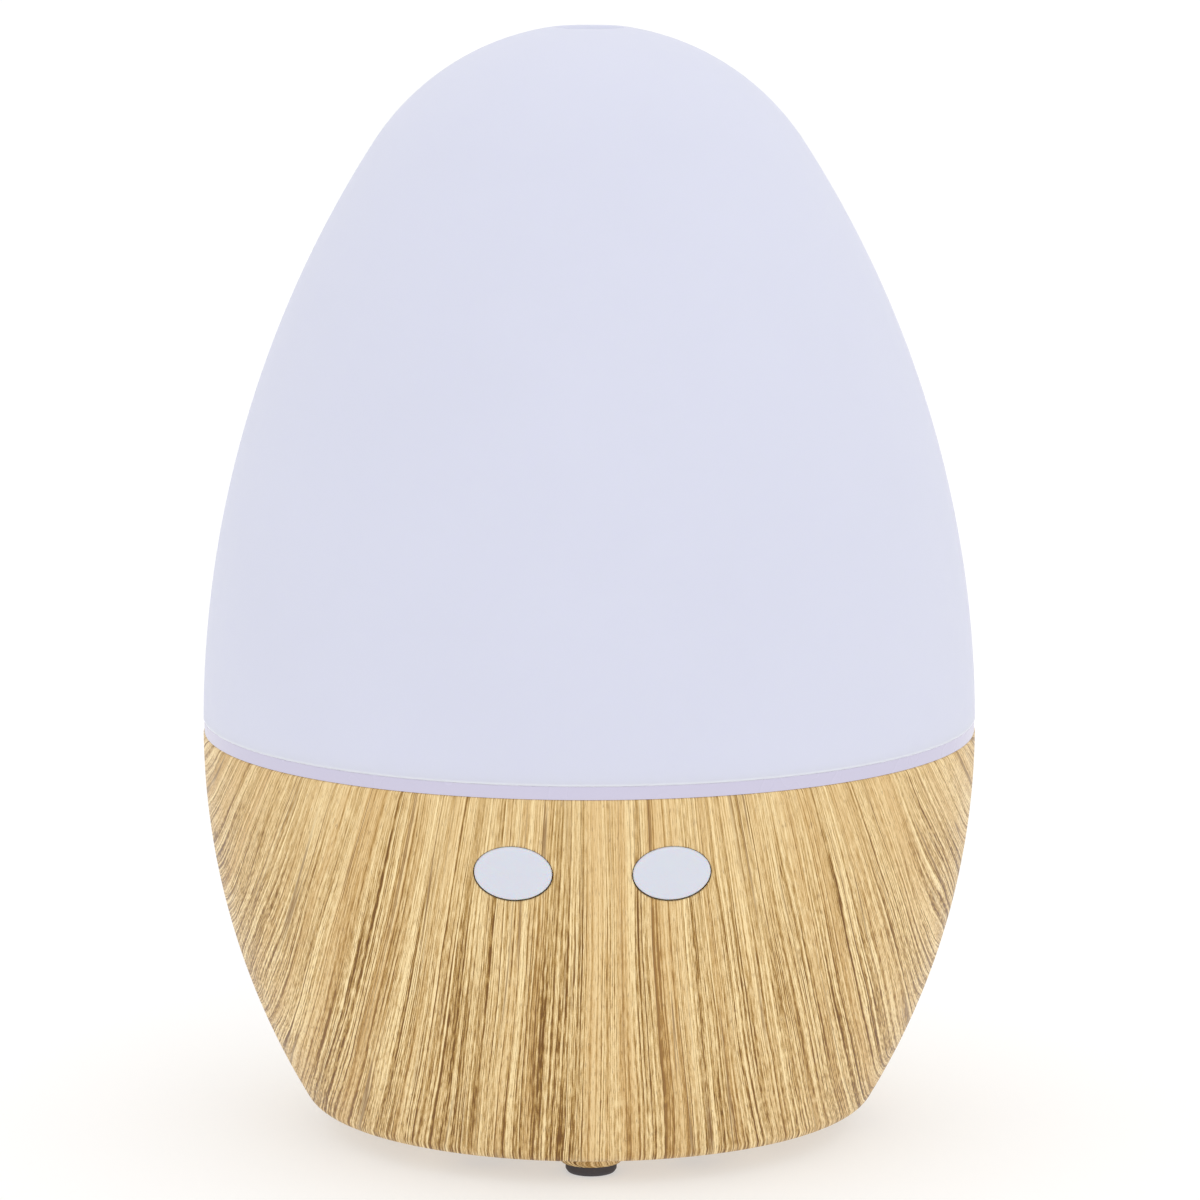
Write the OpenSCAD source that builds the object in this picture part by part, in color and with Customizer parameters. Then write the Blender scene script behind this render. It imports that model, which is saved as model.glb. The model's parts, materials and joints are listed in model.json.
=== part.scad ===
// Ultrasonic cool mist humidifier: an egg-shaped table-top unit. A frosted dome lifts off a water
// tank that hangs in a wood-look bowl, and the bowl holds the fan, the ultrasonic disc and the
// electronics. The origin is on the table, under the middle of the egg. The front faces -Y.

/* [Egg] */
// Radius of the egg at its widest, where dome and bowl meet
body_r = 54; // [53:0.5:56]
// Height of the bowl's rim above the table
rim_z = 56.5; // [56:0.5:58]
// Radius of the arc that shapes the bowl's side
bowl_arc_r = 102; // [100:1:110]
// Radius of the arc that shapes the dome's flank
flank_arc_r = 150.5; // [148:0.5:160]
// Radius of the arc that crowns the dome
crown_arc_r = 35.5; // [34:0.5:37]
// Height of the tank rim that shows between bowl and dome
band_h = 1.75; // [1.5:0.05:2]
// Wall of the dome
dome_wall = 2; // [1.6:0.1:2.4]
// Wall of the bowl
bowl_wall = 2.2; // [2:0.1:2.4]

/* [Mist outlet] */
// Radius of the outlet in the crown
outlet_r = 4.2; // [3.5:0.1:4.6]
// Height of the dome's inner chimney under the crown
dome_chimney_h = 26; // [22:1:28]

/* [Tank] */
// Outer radius of the tank's basin
tank_r = 42; // [41:0.2:42.2]
// Wall of the basin
tank_wall = 1.8; // [1.4:0.1:2]
// Height of the basin floor's top above the table
tank_floor_z = 33; // [32.8:0.1:33.4]
// Top of the air standpipe above the table
standpipe_top_z = 66; // [62:1:67]

/* [Buttons] */
// Width of an oval button
button_w = 10.3; // [9.5:0.1:10.5]
// Height of an oval button
button_h = 7.3; // [6.8:0.1:7.5]
// Distance between the two buttons' centres
button_pitch = 20.9; // [20:0.1:21.5]
// Distance of the buttons' centres below the bowl's rim
button_drop = 10.1; // [9.8:0.1:10.6]
// Travel of a button
button_travel = 0.4; // [0.3:0.1:0.5]

/* [Feet] */
// Radius of the circle that the four feet stand on
foot_circle_r = 29.5; // [28.5:0.5:30]
// Radius of a foot's boss
foot_boss_r = 4.3; // [4.1:0.1:4.5]
// Height of a foot's boss under the bowl
foot_boss_h = 2; // [1.6:0.1:2.2]
// Height of rubber that shows under a boss
foot_rubber_h = 1.5; // [1.2:0.1:1.8]

/* [Inlet] */
// Height of the DC inlet above the table
jack_z = 16; // [15.8:0.1:16.4]
// Radius of the inlet's centre pin
jack_pin_r = 1; // [0.8:0.05:1.05]
// Radius of the inlet's barrel opening
jack_bore_r = 3; // [2.9:0.05:3.1]

/* [Hidden] */
$fn = 64;
// Overlap that makes cuts and joined shapes clean
eps = 0.01;
far = 200;

// Egg: the bowl's and the flank's arcs are centred in the rim's plane, the crown's on the axis
bowl_z = foot_boss_h + foot_rubber_h;
dome_z = rim_z + band_h;
crown_z = rim_z + sqrt(pow(flank_arc_r - crown_arc_r, 2) - pow(flank_arc_r - body_r, 2));
crown_sin = (crown_z - rim_z) / (flank_arc_r - crown_arc_r);
crown_top_z = crown_z + crown_arc_r;
// Rounding of the bowl's lower corner
bowl_fillet_r = 3;
fillet_z = bowl_z + bowl_fillet_r;
fillet_x = body_r - bowl_arc_r
    + sqrt(pow(bowl_arc_r - bowl_fillet_r, 2) - pow(rim_z - fillet_z, 2));
fillet_end_z = fillet_z - bowl_fillet_r * (rim_z - fillet_z) / (bowl_arc_r - bowl_fillet_r);

// Bottom cover and the ledge that it sits under
cover_r = 35.4;
cover_t = 2;
cover_top_z = bowl_z + cover_t;
cover_gap = 0.3;
ledge_r = 33.7;
ledge_t = 1.5;
cup_r = 4.2;
cup_h = 3;
cup_top_z = cover_top_z + cup_h;
post_places = [for (sx = [-1, 1], sy = [-1, 1]) [14.5 * sx, 25 * sy]];
post_r = 3;
foot_places = [for (a = [0:90:270]) [foot_circle_r * cos(a), foot_circle_r * sin(a)]];
rubber_r = 3.5;
rubber_sink = 0.9;

// Tank
tank_in_r = tank_r - tank_wall;
tank_under_z = tank_floor_z - 2;
rim_inset = 0.12;
collar_r = 51.3;
collar_t = 1.4;
collar_h = 3.6;
spigot_r = 51.4;
spigot_t = 1.9;
spigot_h = 5.2;
standpipe = [-25, 0];
standpipe_r = 5;
standpipe_wall = 1.5;
standpipe_cap_r = 7.8;

// Hood
hood_rim_r = 49.4;
hood_rim_t = 1.5;
hood_wall = 1.4;
hood_foot_r = 46;
hood_neck_z = 104;
hood_chimney_r = 8;
hood_top_z = 134;

// Ultrasonic disc and its clamp
disc_r = 10;
disc_t = 1.2;
disc_z = tank_under_z - 1.9;
well_r = 8;
gasket_r = 12.3;
gasket_z = disc_z - 0.7;
clamp_step = 0.5;
clamp_t = 1.5;
clamp_z = gasket_z - clamp_step - clamp_t;
clamp_screw_r = 15.9;
clamp_angles = [0, 120, 240];

// Light board, open at the left where the air duct rises
led_board_in_r = 19.4;
led_board_r = 25.4;
led_board_t = 1.2;
led_board_z = tank_under_z - 3.5;
led_r = 22.4;
led_angles = [-120:40:120];
led_screw_angles = [-100, 20, 100];

// Buttons, switches and their board; all depths are along Y, from front to back
button_z = rim_z - button_drop;
button_xs = [-button_pitch / 2, button_pitch / 2];
button_gap = 0.22;
button_proud = 0.2;
flange_front_y = -47.9;
flange_t = 1;
flange_lip = 1;
stem_r = 1.5;
stem_end_y = -46.4;
plunger_tip_y = stem_end_y + 0.08;
plunger_r = 1.6;
plunger_back_y = -44.75;
switch_front_y = -45.6;
switch_size = 6;
board_front_y = -43.7;
board_t = 1;
button_board_w = 38;
button_board_h = 12;
button_screw_places = [[-16.5, button_z + 3.6], [16.5, button_z + 3.6]];

// Fan
fan_at = [-18, 0];
fan_size = 30;
fan_z = 10.2;
fan_h = 7.2;
fan_bore_r = 14;
fan_hole_places = [for (sx = [-1, 1], sy = [-1, 1]) [fan_at.x + 12 * sx, fan_at.y + 12 * sy]];
fan_base_t = 1;
fan_tube_r = 3;
fan_bearing_r = 2.2;
fan_shaft_r = 1;
fan_running_gap = 0.04;
fan_hub_r = 8;
fan_blade_r = 13.4;
fan_blades = 7;
fan_top_z = fan_z + fan_h;

// Air duct
duct_plate_t = 1.4;
duct_drum_r = 14.6;
duct_wall = 1.4;
duct_roof_z = fan_top_z + duct_plate_t + 3.4;
duct_tube_r = 6.5;
duct_seal_h = 1.5;

// Main board, with X and Y places of what it carries
main_board = [0.5, -18, 34, 36];
main_board_z = 11.5;
main_board_t = 1.6;
main_top_z = main_board_z + main_board_t;
main_screw_places = [[4.5, -14.5], [29.6, 14.5]];
inductor_places = [[13, -6.5], [24.5, 4.5]];
capacitor_places = [[14, 4.5, 3.15], [31.6, -5, 2.5]];
heat_sink_at = [24, -6];
chip_at = [15, 13.4];
resistor_places = [for (x = [22, 24.6], y = [10.8:3:16.8]) [x, y]];
// Each connector: centre, size along X, size along Y
connector_h = 5.6;
fan_connector = [4, -7, 4.6, 6];
transducer_connector = [5, 2.5, 4.6, 6];
power_connector = [6, 12.5, 4.6, 6];
led_connector = [31.5, 4, 4.6, 6];
button_connector = [20, -14.6, 8.4, 4.6];
connector_list = [fan_connector, transducer_connector, power_connector, led_connector,
    button_connector];

// DC inlet
jack_front_y = 42;
jack_back_y = 30;
jack_floor_y = 32;
jack_root_r = 1.3;
jack_w = 9;
jack_h = 10;
jack_nose_r = 4;
recess_r = 6;
recess_wall = 2;
shelf_t = 1.2;

// Wires: each route is a list of points chosen by hand, from a part down to its connector
wire_r = 0.6;
wire_sides = 8;
wire_step = 3;
wire_top_z = main_top_z + connector_h;
// the last stretch drops straight into the connector
drop = 1.6;
transducer_routes = [
    for (s = [-1, 1]) [[3 * s, 0, disc_z], [3 * s, 0, 27.4], [2 + 2 * s, 1 + s, 24.2],
        [5, 2.5 + 1.4 * s, wire_top_z + drop], [5, 2.5 + 1.4 * s, wire_top_z]]];
fan_routes = [
    for (s = [-1, 1]) [[-3, -6 + s, 12.2], [-2, -6 + s, 12.2], [-0.9, -6.4 + s, 16],
        [0.4, -6.8 + s, 20.5], [4, -7 + 1.4 * s, wire_top_z + drop],
        [4, -7 + 1.4 * s, wire_top_z]]];
power_routes = [
    for (s = [-1, 1]) [[2.1 * s, 28, 16], [2.1 * s, 26.6, 16], [2.4 + 1.5 * s, 22.5, 19.4],
        [4.6 + 1.2 * s, 18 + 0.6 * s, 22], [6, 12.5 + 1.4 * s, wire_top_z + drop],
        [6, 12.5 + 1.4 * s, wire_top_z]]];
led_routes = [
    for (s = [-1, 1]) [[23.6, 2.9 * s, led_board_z], [23.6, 2.9 * s, led_board_z - 1],
        [27, 3 + 1.8 * s, 23.8], [31.5, 4 + 1.4 * s, wire_top_z + drop],
        [31.5, 4 + 1.4 * s, wire_top_z]]];
button_routes = [
    for (s = [-1, 0, 1]) let (low_z = button_z - button_board_h / 2)
        [[8 + 2 * s, board_front_y + 0.5, low_z], [8 + 2 * s, board_front_y + 0.5, low_z - 1.2],
        [9 + 2 * s, -44.6, 34], [12 + 2 * s, -41, 28], [20.6 + 1.7 * s, -28, 25],
        [22 + 1.7 * s, -20, 24], [20 + 2.2 * s, -14.6, wire_top_z + drop],
        [20 + 2.2 * s, -14.6, wire_top_z]]];

// ---- Shared shapes ----

// Half-section of the solid bowl between two heights, d inside its outer face. The circle's
// start point is turned away from the rim.
module bowl_section(z0, z1, d = 0) {
    intersection() {
        translate([body_r - bowl_arc_r, rim_z])
            rotate(180)
                circle(bowl_arc_r - d);
        translate([0, z0])
            square([far, z1 - z0]);
    }
}

// Half-section of the solid bowl with its rounded lower corner
module bowl_outline() {
    bowl_section(fillet_end_z, rim_z);
    intersection() {
        translate([fillet_x, fillet_z])
            rotate(90)
                circle(bowl_fillet_r);
        translate([fillet_x, bowl_z])
            square([bowl_fillet_r, fillet_end_z - bowl_z]);
    }
    translate([0, bowl_z])
        square([fillet_x, fillet_end_z - bowl_z]);
}

// Half-section of the solid dome from a height up, d inside its outer face
module dome_section(z0, d = 0) {
    tangent_z = rim_z + (flank_arc_r - d) * crown_sin;
    intersection() {
        translate([body_r - flank_arc_r, rim_z])
            rotate(180)
                circle(flank_arc_r - d);
        translate([0, z0])
            square([far, tangent_z - z0]);
    }
    intersection() {
        translate([0, crown_z])
            rotate(180)
                circle(crown_arc_r - d);
        translate([0, tangent_z])
            square([far, far]);
    }
}

module ring(r_out, r_in, z0, z1) {
    translate([0, 0, z0])
        difference() {
            cylinder(r = r_out, h = z1 - z0);
            translate([0, 0, -1])
                cylinder(r = r_in, h = z1 - z0 + 2);
        }
}

module rod(r, z0, z1) {
    translate([0, 0, z0])
        cylinder(r = r, h = z1 - z0);
}

// A cylinder along +Y between two depths
module rod_y(r, y0, y1) {
    translate([0, y0, 0])
        rotate([-90, 0, 0])
            cylinder(r = r, h = y1 - y0);
}

// An oval bar along +Y between two depths, grown all round by g
module oval_bar(g, y0, y1) {
    translate([0, y0, 0])
        rotate([-90, 0, 0])
            linear_extrude(y1 - y0)
                scale([1, (button_h + 2 * g) / (button_w + 2 * g)])
                    circle(button_w / 2 + g);
}

// A cross-head screw at the origin: head above the seat plane z = 0, shank below it
module screw(shank_r, length, head_r, head_h) {
    difference() {
        union() {
            intersection() {
                cylinder(r = head_r, h = head_h);
                translate([0, 0, head_h - 2.2 * head_r])
                    sphere(2.2 * head_r);
            }
            translate([0, 0, -length])
                cylinder(r = shank_r, h = length + eps);
        }
        for (a = [0, 90])
            rotate(a)
                translate([-head_r * 0.62, -head_r * 0.13, head_h * 0.45])
                    cube([head_r * 1.24, head_r * 0.26, head_h]);
    }
}

// Wires: a smooth curve through the route's points, swept with a round section
function mixed(p, q, r, s, t) =
    0.5 * (2 * q + (r - p) * t + (2 * p - 5 * q + 4 * r - s) * t * t
        + (3 * q - p - 3 * r + s) * t * t * t);
function route_point(route, i) =
    i < 0 ? 2 * route[0] - route[1]
    : i >= len(route) ? 2 * route[len(route) - 1] - route[len(route) - 2]
    : route[i];
function smooth_route(route) = [
    for (i = [0:len(route) - 2])
        let (n = max(1, round(norm(route[i + 1] - route[i]) / wire_step)))
            for (k = [0:n - 1])
                mixed(route_point(route, i - 1), route[i], route[i + 1],
                    route_point(route, i + 2), k / n),
    route[len(route) - 1]];
function unit(v) = v / norm(v);
function tangent(path, i) =
    i == 0 ? unit(path[1] - path[0])
    : i == len(path) - 1 ? unit(path[i] - path[i - 1])
    : unit(path[i + 1] - path[i - 1]);
// Each ring's first spoke is the last ring's spoke, turned square to the new tangent
function squared(v, t) = unit(v - (v * t) * t);
function spokes(path, i, v) =
    i == len(path) ? []
    : let (u = squared(v, tangent(path, i))) concat([u], spokes(path, i + 1, u));
module wire(route) {
    path = smooth_route(route);
    first = tangent(path, 0);
    spoke = spokes(path, 0, abs(first.x) < 0.7 ? [1, 0, 0] : [0, 1, 0]);
    m = wire_sides;
    last = len(path) - 1;
    points = [
        for (i = [0:last], k = [0:m - 1])
            let (u = spoke[i], w = cross(tangent(path, i), u), a = 360 * k / m)
                path[i] + wire_r * (cos(a) * u + sin(a) * w)];
    sides = [
        for (i = [0:last - 1], k = [0:m - 1])
            let (a = i * m + k, b = i * m + (k + 1) % m)
                each [[a, b + m, b], [a, a + m, b + m]]];
    ends = [[for (k = [0:m - 1]) k], [for (k = [m - 1:-1:0]) last * m + k]];
    polyhedron(points, concat(sides, ends));
}

// ---- Dome, hood and tank ----

module dome_cover() {
    chimney_wall = 1.6;
    color([0.91, 0.91, 0.96])
        difference() {
            union() {
                rotate_extrude($fn = 128)
                    difference() {
                        dome_section(dome_z);
                        dome_section(dome_z - 1, dome_wall);
                    }
                rod(outlet_r + chimney_wall, crown_top_z - dome_chimney_h,
                    crown_top_z - dome_wall / 2 - 0.2);
            }
            rod(outlet_r, crown_top_z - far, crown_top_z + 1);
            // softened edge of the outlet
            translate([0, 0, crown_top_z - 1])
                cylinder(r1 = outlet_r, r2 = outlet_r + 0.9, h = 1.2);
        }
}

module splash_hood() {
    rim_top_z = dome_z + hood_rim_t;
    neck_in_r = hood_chimney_r - hood_wall;
    color([0.95, 0.95, 0.96])
        rotate_extrude($fn = 128)
            polygon([[hood_foot_r - 2, dome_z], [hood_rim_r, dome_z], [hood_rim_r, rim_top_z],
                [hood_foot_r, rim_top_z], [hood_chimney_r, hood_neck_z],
                [hood_chimney_r, hood_top_z], [neck_in_r, hood_top_z],
                [neck_in_r, hood_neck_z - 0.6], [hood_foot_r - 2, rim_top_z - 0.4]]);
}

// Bosses under the tank for the ultrasonic disc and the light board, and the long screw posts.
// They are sunk into the floor by half a millimetre.
module tank_underside() {
    sunk_z = tank_under_z + 0.5;
    for (a = clamp_angles)
        rotate(a)
            translate([clamp_screw_r, 0, 0])
                ring(2.4, 0.95, clamp_z + clamp_t, sunk_z);
    for (a = led_screw_angles)
        rotate(a)
            translate([led_r, 0, 0])
                ring(2, 0.95, led_board_z + led_board_t, sunk_z);
    for (p = post_places)
        translate(p)
            difference() {
                rod(post_r, cup_top_z, sunk_z);
                rod(1.25, cup_top_z - 1, cup_top_z + 16);
            }
}

module button_board_bosses() {
    for (p = button_screw_places)
        translate([p.x, 0, p.y])
            difference() {
                rod_y(1.9, board_front_y + board_t, -37.6);
                rod_y(0.95, board_front_y, -39.5);
            }
}

// Half-section of the tank: basin, rim band, collar for the dome, spigot for the bowl and the
// wall round the disc's gasket
module tank_section() {
    bevel = 4;
    difference() {
        union() {
            translate([0, tank_under_z])
                square([tank_r, dome_z - tank_under_z]);
            translate([0, rim_z])
                square([body_r - rim_inset, band_h]);
            translate([0, rim_z + 1])
                square([collar_r, band_h - 1 + collar_h]);
            translate([spigot_r - spigot_t, rim_z - spigot_h])
                square([spigot_t, spigot_h + 1]);
            translate([gasket_r + 0.1, clamp_z + clamp_t])
                square([1.4, tank_under_z + 1 - clamp_z - clamp_t]);
        }
        polygon([[0, tank_floor_z], [tank_in_r - bevel, tank_floor_z],
            [tank_in_r, tank_floor_z + bevel], [tank_in_r, far], [0, far]]);
        translate([0, dome_z])
            square([collar_r - collar_t, far]);
        translate([0, tank_under_z - 1])
            square([well_r, far]);
        // groove for the seal
        translate([spigot_r - 0.9, rim_z - 3.6])
            square([2, 1.8]);
    }
}

module water_tank() {
    cap_t = 1.6;
    window_w = 6.8;
    window_h = 7.6;
    color([0.93, 0.93, 0.96])
        difference() {
            union() {
                rotate_extrude($fn = 128)
                    tank_section();
                tank_underside();
                button_board_bosses();
                translate(standpipe) {
                    rod(standpipe_r + standpipe_wall, tank_under_z + 0.5, standpipe_top_z - 0.5);
                    rod(standpipe_cap_r, standpipe_top_z - cap_t, standpipe_top_z);
                    // fill line: a small raised ring
                    rod(standpipe_r + standpipe_wall + 0.5, 50, 50.8);
                }
            }
            translate(standpipe) {
                rod(standpipe_r, tank_under_z - 1, standpipe_top_z - cap_t);
                // air leaves by a window under the cap, towards the mist
                translate([0, -window_w / 2, standpipe_top_z - cap_t - 0.4 - window_h])
                    cube([10, window_w, window_h]);
            }
        }
}

module rim_seal() {
    color([0.85, 0.85, 0.85])
        ring(spigot_r + 0.15, spigot_r - 0.85, rim_z - 3.5, rim_z - 1.9);
}

// ---- Bowl, bottom cover and feet ----

module base_shell() {
    color([0.84, 0.72, 0.52])
        difference() {
            union() {
                rotate_extrude($fn = 128)
                    difference() {
                        bowl_outline();
                        bowl_section(cover_top_z + ledge_t, rim_z + 1, bowl_wall);
                        // opening inside the ledge, and the cover's seat under it
                        square([ledge_r, cover_top_z + ledge_t + eps]);
                        square([cover_r + cover_gap, cover_top_z]);
                    }
                // wall behind the inlet's recess, and the shelf that holds the jack
                intersection() {
                    rotate_extrude($fn = 128)
                        bowl_section(cover_top_z, rim_z - 20);
                    union() {
                        translate([0, 0, jack_z])
                            rod_y(recess_r + 2, jack_front_y - recess_wall, far);
                        for (s = [-1, 1])
                            translate([s * (jack_w / 2 + shelf_t / 2 + 0.1) - shelf_t / 2,
                                jack_back_y, jack_z - jack_h / 2 - shelf_t])
                                cube([shelf_t, jack_front_y - jack_back_y - 1, 9]);
                        translate([-jack_w / 2 - 1, jack_back_y, jack_z - jack_h / 2 - shelf_t])
                            cube([jack_w + 2, jack_front_y - jack_back_y - 1, shelf_t]);
                    }
                }
            }
            translate([0, 0, jack_z]) {
                rod_y(recess_r, jack_front_y, far);
                rod_y(jack_nose_r + 0.1, 0, far);
            }
            for (x = button_xs)
                translate([x, 0, button_z])
                    oval_bar(button_gap, -far, 0);
            // notches in the ledge for the cover's bosses
            for (p = concat(fan_hole_places, main_screw_places))
                translate(p)
                    rod(2.8, cover_top_z - eps, cover_top_z + ledge_t + eps);
        }
}

module bottom_cover() {
    slot_w = 1.9;
    slot_pitch = 3.6;
    grille_r = 10.5;
    grille_x = -12.5;
    color([0.83, 0.71, 0.51])
        difference() {
            union() {
                rod(cover_r, bowl_z, cover_top_z);
                for (p = foot_places)
                    translate(p)
                        translate([0, 0, foot_rubber_h])
                            cylinder(r1 = foot_boss_r - 0.2, r2 = foot_boss_r, h = foot_boss_h + eps);
                for (p = post_places)
                    translate(p)
                        rod(cup_r, cover_top_z - eps, cup_top_z);
                for (p = fan_hole_places)
                    translate(p)
                        rod(2.4, cover_top_z - eps, fan_z);
                for (p = main_screw_places)
                    translate(p)
                        rod(2.3, cover_top_z - eps, main_board_z);
            }
            for (p = foot_places)
                translate(p)
                    rod(rubber_r + 0.08, 0, foot_rubber_h + rubber_sink);
            for (p = post_places)
                translate(p) {
                    rod(cup_r - 1.1, 0, cup_top_z - 1.5);
                    rod(1.6, 0, far);
                }
            for (p = fan_hole_places)
                translate(p)
                    rod(0.95, cover_top_z, far);
            for (p = main_screw_places)
                translate(p)
                    rod(0.95, cover_top_z, far);
            // intake slots under the fan
            for (i = [-2:2])
                let (x = i * slot_pitch, half = sqrt(pow(grille_r, 2) - pow(x, 2)))
                    translate([grille_x + x - slot_w / 2, -half, 0])
                        cube([slot_w, 2 * half, far]);
        }
}

module rubber_feet() {
    edge = 0.5;
    color([0.22, 0.22, 0.24])
        for (p = foot_places)
            translate(p) {
                cylinder(r1 = rubber_r - edge, r2 = rubber_r, h = edge);
                rod(rubber_r, edge, foot_rubber_h + rubber_sink);
            }
}

module cover_screws() {
    color([0.7, 0.7, 0.72])
        for (p = post_places)
            translate([p.x, p.y, cup_top_z - 1.5])
                rotate([180, 0, 0])
                    screw(1.2, 12, 2.8, 1.8);
}

// ---- Buttons and switches ----

// A cap whose face follows the bowl, a flange that keeps it in, and a stem for the switch
module button(x) {
    color([0.94, 0.94, 0.97]) {
        intersection() {
            translate([x, 0, button_z])
                oval_bar(0, -far, flange_front_y + flange_t);
            rotate_extrude($fn = 128)
                bowl_section(rim_z - 25, rim_z - 1, -button_proud);
        }
        translate([x, 0, button_z]) {
            oval_bar(flange_lip, flange_front_y, flange_front_y + flange_t);
            rod_y(stem_r, flange_front_y + flange_t - eps, stem_end_y);
        }
    }
}

module mist_button() {
    button(button_xs[0]);
}

module light_button() {
    button(button_xs[1]);
}

module plunger(x) {
    color([0.15, 0.15, 0.16])
        translate([x, 0, button_z])
            rod_y(plunger_r, plunger_tip_y, plunger_back_y);
}

module mist_plunger() {
    plunger(button_xs[0]);
}

module light_plunger() {
    plunger(button_xs[1]);
}

module switch_housings() {
    color([0.2, 0.2, 0.21])
        for (x = button_xs)
            difference() {
                translate([x - switch_size / 2, switch_front_y, button_z - switch_size / 2])
                    cube([switch_size, board_front_y - switch_front_y, switch_size]);
                translate([x, 0, button_z])
                    rod_y(plunger_r + 0.08, switch_front_y - 1,
                        plunger_back_y + button_travel + 0.15);
            }
}

module button_board() {
    color([0.1, 0.35, 0.2])
        difference() {
            translate([-button_board_w / 2, board_front_y, button_z - button_board_h / 2])
                cube([button_board_w, board_t, button_board_h]);
            for (p = button_screw_places)
                translate([p.x, 0, p.y])
                    rod_y(1.05, -far, 0);
        }
}

module button_board_screws() {
    color([0.7, 0.7, 0.72])
        for (p = button_screw_places)
            translate([p.x, board_front_y, p.y])
                rotate([90, 0, 0])
                    screw(0.9, 4, 1.7, 1.1);
}

// ---- Ultrasonic disc ----

module transducer_disc() {
    color([0.86, 0.84, 0.76])
        rod(disc_r, disc_z, disc_z + disc_t);
}

module transducer_gasket() {
    color([0.9, 0.9, 0.88])
        difference() {
            ring(gasket_r, well_r + 0.2, gasket_z, tank_under_z);
            rod(disc_r + 0.05, disc_z, disc_z + disc_t);
        }
}

module transducer_retainer() {
    color([0.75, 0.76, 0.78])
        difference() {
            union() {
                rod(gasket_r + 1.5, clamp_z, clamp_z + clamp_t);
                rod(gasket_r, clamp_z + clamp_t - eps, gasket_z);
                for (a = clamp_angles)
                    rotate(a)
                        translate([clamp_screw_r, 0, 0])
                            rod(2.3, clamp_z, clamp_z + clamp_t);
            }
            rod(well_r + 0.2, 0, far);
            for (a = clamp_angles)
                rotate(a)
                    translate([clamp_screw_r, 0, 0])
                        rod(1.05, 0, far);
        }
}

module retainer_screws() {
    color([0.7, 0.7, 0.72])
        for (a = clamp_angles)
            rotate(a)
                translate([clamp_screw_r, 0, clamp_z])
                    rotate([180, 0, 0])
                        screw(0.9, 4.2, 1.8, 1.2);
}

// ---- Light board ----

module led_board() {
    gap_angle = 80;
    color([0.93, 0.94, 0.93])
        difference() {
            rotate(gap_angle / 2 - 180)
                rotate_extrude(angle = 360 - gap_angle, $fn = 128)
                    translate([led_board_in_r, led_board_z])
                        square([led_board_r - led_board_in_r, led_board_t]);
            for (a = led_screw_angles)
                rotate(a)
                    translate([led_r, 0, 0])
                        rod(1.05, 0, far);
        }
}

module leds() {
    size = [2.8, 3.5, 1.4];
    color([0.97, 0.96, 0.85])
        for (a = led_angles)
            rotate(a)
                translate([led_r - size.x / 2, -size.y / 2, led_board_z + led_board_t])
                    cube(size);
}

module led_board_screws() {
    color([0.7, 0.7, 0.72])
        for (a = led_screw_angles)
            rotate(a)
                translate([led_r, 0, led_board_z])
                    rotate([180, 0, 0])
                        screw(0.9, 3.2, 1.7, 1.1);
}

// ---- Main board ----

module main_board() {
    color([0.1, 0.35, 0.2])
        difference() {
            translate([main_board[0], main_board[1], main_board_z])
                cube([main_board[2], main_board[3], main_board_t]);
            for (p = main_screw_places)
                translate(p)
                    rod(1.05, 0, far);
        }
}

module main_board_screws() {
    color([0.7, 0.7, 0.72])
        for (p = main_screw_places)
            translate([p.x, p.y, main_top_z])
                screw(0.9, 5.6, 1.9, 1.2);
}

// Two drum-core coils: flanges with a winding between them
module inductors() {
    color([0.25, 0.2, 0.18])
        for (p = inductor_places)
            translate(p) {
                rod(4, main_top_z, main_top_z + 1.2);
                rod(3.4, main_top_z + 1.2 - eps, main_top_z + 7.8 + eps);
                rod(4, main_top_z + 7.8, main_top_z + 9);
            }
}

module capacitors() {
    height = 9.5;
    color([0.12, 0.14, 0.3])
        for (p = capacitor_places)
            translate([p[0], p[1], 0])
                difference() {
                    union() {
                        rod(p[2], main_top_z, main_top_z + 1);
                        rod(p[2] - 0.2, main_top_z + 1 - eps, main_top_z + 1.8);
                        rod(p[2], main_top_z + 1.8 - eps, main_top_z + height);
                    }
                    // scored vent
                    for (a = [0, 90])
                        rotate(a)
                            translate([-p[2] * 0.6, -0.1, main_top_z + height - 0.15])
                                cube([p[2] * 1.2, 0.2, 1]);
                }
}

module transistor() {
    color([0.1, 0.1, 0.1])
        translate([heat_sink_at.x - 3.3, heat_sink_at.y - 3, main_top_z])
            cube([6.6, 6, 2.3]);
}

module heat_sink() {
    size = 9;
    fins = 5;
    base_z = main_top_z + 2.3;
    fin_t = 0.8;
    color([0.75, 0.76, 0.78])
        translate([heat_sink_at.x - size / 2, heat_sink_at.y - size / 2, base_z]) {
            cube([size, size, 1.2]);
            for (i = [0:fins - 1])
                translate([i * (size - fin_t) / (fins - 1), 0, 1.2 - eps])
                    cube([fin_t, size, 4]);
        }
}

module controller_chip() {
    body = [10, 3.9, 1.4];
    color([0.12, 0.12, 0.12])
        translate([chip_at.x - body.x / 2, chip_at.y - body.y / 2, main_top_z + 0.2])
            cube(body);
    color([0.8, 0.8, 0.8])
        for (i = [0:7], s = [-1, 1])
            translate([chip_at.x - 4.65 + 1.27 * i, chip_at.y + s * (body.y / 2 + 0.4) - 0.6,
                main_top_z])
                cube([0.42, 1.2, 0.5]);
}

module chip_resistors() {
    color([0.15, 0.15, 0.15])
        for (p = resistor_places)
            translate([p.x - 0.65, p.y - 1, main_top_z])
                cube([1.3, 2, 0.6]);
}

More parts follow.
